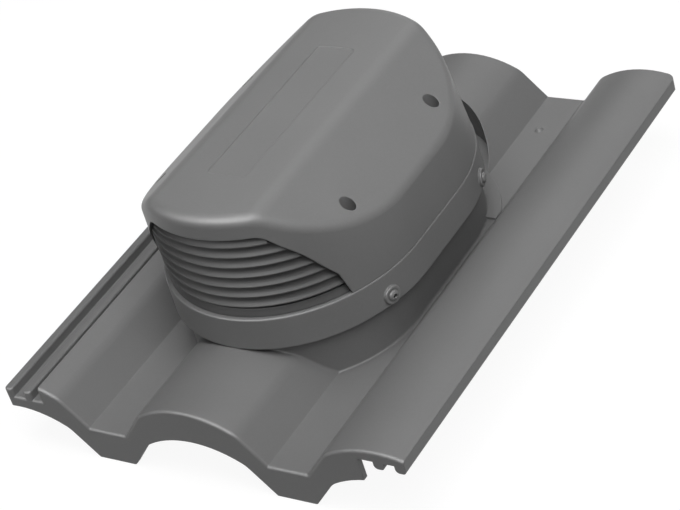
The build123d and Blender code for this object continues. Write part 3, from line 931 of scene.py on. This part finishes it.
class VENT_OT_cover_screws(bpy.types.Operator):
    """Models the four cross-head screws at the bottom of the hood's wells"""

    bl_idname = "vent.cover_screws"
    bl_label = "Model Cover Screws"

    def execute(self, context):
        screws = context.scene.vent_screws
        screw = domed_screw(screws, COVER_SCREW_LENGTH)
        slot_reach, slot_depth, slot_narrowing = 0.0034, 0.0014, 0.16
        for turn in (0.0, math.pi / 2.0):
            slot = prism_cutter(4, slot_reach, slot_depth, screws.head_height)
            narrow = Matrix.Diagonal((1.0, slot_narrowing, 1.0, 1.0))
            square_on = Matrix.Rotation(math.pi / 4.0, 4, "Z")
            slot.data.transform(Matrix.Rotation(turn, 4, "Z") @ narrow @ square_on)
            cut(screw, slot, "DIFFERENCE")
        clean_cut(screw)
        turns = []
        for across in COVER_SCREW_ACROSS:
            for along in COVER_SCREW_ALONG:
                place = HOOD_CENTRE + Vector((across, along, COVER_SCREW_SEAT))
                turns.append(Matrix.Translation(place))
        placed = place_copies(screw, turns, "cross_head_screws")
        steel = turned_steel("screw_steel", (0.55, 0.55, 0.54))
        finish_piece(placed, steel, "cover_screws")
        return {"FINISHED"}


def add_lamp(name, place, size, energy, gleam_only=False):
    """Square soft lamp that is turned to the vent; one for the gleam lights gloss alone."""
    bpy.ops.object.light_add(type="AREA", location=place)
    lamp = bpy.context.object
    lamp.name = name
    lamp.data.shape = "SQUARE"
    lamp.data.size = size
    lamp.data.energy = energy
    lamp.visible_diffuse = not gleam_only
    lamp.rotation_euler = (LAMP_AIM - Vector(place)).to_track_quat("-Z", "Y").to_euler()


class VENT_OT_stage(bpy.types.Operator):
    """Adds the floor, the lamps, the sky and the camera"""

    bl_idname = "vent.stage"
    bl_label = "Set the Stage"

    def execute(self, context):
        stage = context.scene.vent_stage
        bpy.ops.object.select_all(action="DESELECT")
        just_below = (0.0, 0.0, -0.0005)
        bpy.ops.mesh.primitive_plane_add(size=8.0, location=just_below)
        floor = context.object
        floor.name = "floor"
        bpy.ops.object.transform_apply(location=True, rotation=True, scale=True)
        floor.data.materials.append(self.paper())
        self.light_sky(stage.sky_strength)
        for name, (place, size) in LAMPS.items():
            add_lamp(f"{name}_lamp", place, size, getattr(stage, f"{name}_energy"))
        for number, (place, share) in enumerate(GLEAM_LAMPS):
            energy = share * stage.gleam_energy
            add_lamp(f"gleam_lamp_{number}", place, GLEAM_SIZE, energy, gleam_only=True)
        self.add_camera(stage)
        return {"FINISHED"}

    def paper(self):
        """Pale floor that stays white to the camera and keeps the vent's shadow."""
        material, nodes, links, shader = new_material("paper_floor")
        shader.inputs["Base Color"].default_value = (0.1, 0.1, 0.1, 1.0)
        shader.inputs["Roughness"].default_value = 0.9
        shader.inputs["Specular IOR Level"].default_value = 0.0
        rays = nodes.new("ShaderNodeLightPath")
        seen = nodes.new("ShaderNodeMath")
        seen.operation = "MAXIMUM"
        links.new(rays.outputs["Is Camera Ray"], seen.inputs[0])
        links.new(rays.outputs["Is Glossy Ray"], seen.inputs[1])
        clear = nodes.new("ShaderNodeMath")
        clear.operation = "MAXIMUM"
        links.new(seen.outputs["Value"], clear.inputs[0])
        links.new(rays.outputs["Is Transmission Ray"], clear.inputs[1])
        lift = nodes.new("ShaderNodeMath")
        lift.operation = "MULTIPLY"
        lift.inputs[1].default_value = 0.93
        links.new(clear.outputs["Value"], lift.inputs[0])
        shader.inputs["Emission Color"].default_value = (1.0, 1.0, 1.0, 1.0)
        links.new(lift.outputs["Value"], shader.inputs["Emission Strength"])
        return material

    def light_sky(self, strength):
        """Even sky that is white to the camera and dimmer as a light."""
        world = bpy.data.worlds.new("studio")
        bpy.context.scene.world = world
        world.use_nodes = True
        nodes, links = world.node_tree.nodes, world.node_tree.links
        sky = nodes["Background"]
        sky.inputs["Color"].default_value = (1.0, 1.0, 1.0, 1.0)
        rays = nodes.new("ShaderNodeLightPath")
        level = nodes.new("ShaderNodeMapRange")
        level.inputs["To Min"].default_value = strength
        level.inputs["To Max"].default_value = 1.0
        links.new(rays.outputs["Is Camera Ray"], level.inputs["Value"])
        links.new(level.outputs["Result"], sky.inputs["Strength"])

    def add_camera(self, stage):
        """Camera at the photograph's viewing angle, given by its sideways and upward axes."""
        bpy.ops.object.camera_add(location=stage.camera_place)
        camera = bpy.context.object
        camera.name = "camera"
        across = Vector((0.83358, 0.49030, -0.25448))
        up = Vector((-0.12562, 0.61686, 0.77699))
        back = across.cross(up)
        turn = Matrix((across, up, back)).transposed()
        camera.rotation_euler = turn.to_euler()
        camera.data.sensor_width = 36.0
        camera.data.lens = stage.lens
        camera.data.clip_start = 0.05
        camera.data.clip_end = 50.0
        bpy.context.scene.camera = camera
        bpy.context.scene.view_settings.view_transform = "Standard"


# What the panel shows for each step: the group, its settings and the operator.
PANEL_STEPS = (
    (
        "vent_finish",
        (
            "tile_colour",
            "hood_colour",
            "louvre_shaded_colour",
            "duct_colour",
            "mesh_colour",
            "screw_colour",
            "roughness",
            "grain_size",
        ),
        "vent.finishes",
    ),
    (
        "vent_grille",
        ("louvre_count", "louvre_pitch", "first_louvre", "nose_reach", "end_gap"),
        "vent.louvres",
    ),
    ("vent_grille", ("mesh_pitch", "mesh_wire"), "vent.insect_mesh"),
    (None, (), "vent.seal"),
    (
        "vent_screws",
        (
            "head_radius",
            "head_height",
            "shank_radius",
            "socket_radius",
            "washer_radius",
            "washer_wall",
        ),
        "vent.ring_screws",
    ),
    (None, (), "vent.cover_screws"),
    (
        "vent_stage",
        (
            "lens",
            "camera_place",
            "key_energy",
            "top_energy",
            "side_energy",
            "rear_energy",
            "gleam_energy",
            "sky_strength",
        ),
        "vent.stage",
    ),
)


class VENT_PT_panel(bpy.types.Panel):
    """Panel in the sidebar that lists the steps in their order"""

    bl_idname = "VENT_PT_panel"
    bl_label = "Roof Tile Vent"
    bl_space_type = "VIEW_3D"
    bl_region_type = "UI"
    bl_category = "Roof Vent"

    def draw(self, context):
        for group, names, operator in PANEL_STEPS:
            for name in names:
                self.layout.prop(getattr(context.scene, group), name)
            self.layout.operator(operator)


CLASSES = (
    VentFinish,
    VentGrille,
    VentScrews,
    VentStage,
    VENT_OT_finishes,
    VENT_OT_louvres,
    VENT_OT_insect_mesh,
    VENT_OT_seal,
    VENT_OT_ring_screws,
    VENT_OT_cover_screws,
    VENT_OT_stage,
    VENT_PT_panel,
)


def register():
    """Registers the classes and gives the scene its settings."""
    for cls in CLASSES:
        bpy.utils.register_class(cls)
    bpy.types.Scene.vent_finish = bpy.props.PointerProperty(type=VentFinish)
    bpy.types.Scene.vent_grille = bpy.props.PointerProperty(type=VentGrille)
    bpy.types.Scene.vent_screws = bpy.props.PointerProperty(type=VentScrews)
    bpy.types.Scene.vent_stage = bpy.props.PointerProperty(type=VentStage)


def unregister():
    """Takes the settings and the classes away again."""
    del bpy.types.Scene.vent_stage
    del bpy.types.Scene.vent_screws
    del bpy.types.Scene.vent_grille
    del bpy.types.Scene.vent_finish
    for cls in reversed(CLASSES):
        bpy.utils.unregister_class(cls)


def main():
    """Builds all the pieces and the stage."""
    register()
    bpy.ops.vent.finishes()
    bpy.ops.vent.louvres()
    bpy.ops.vent.insect_mesh()
    bpy.ops.vent.seal()
    bpy.ops.vent.ring_screws()
    bpy.ops.vent.cover_screws()
    bpy.ops.vent.stage()


if __name__ == "__main__":
    main()
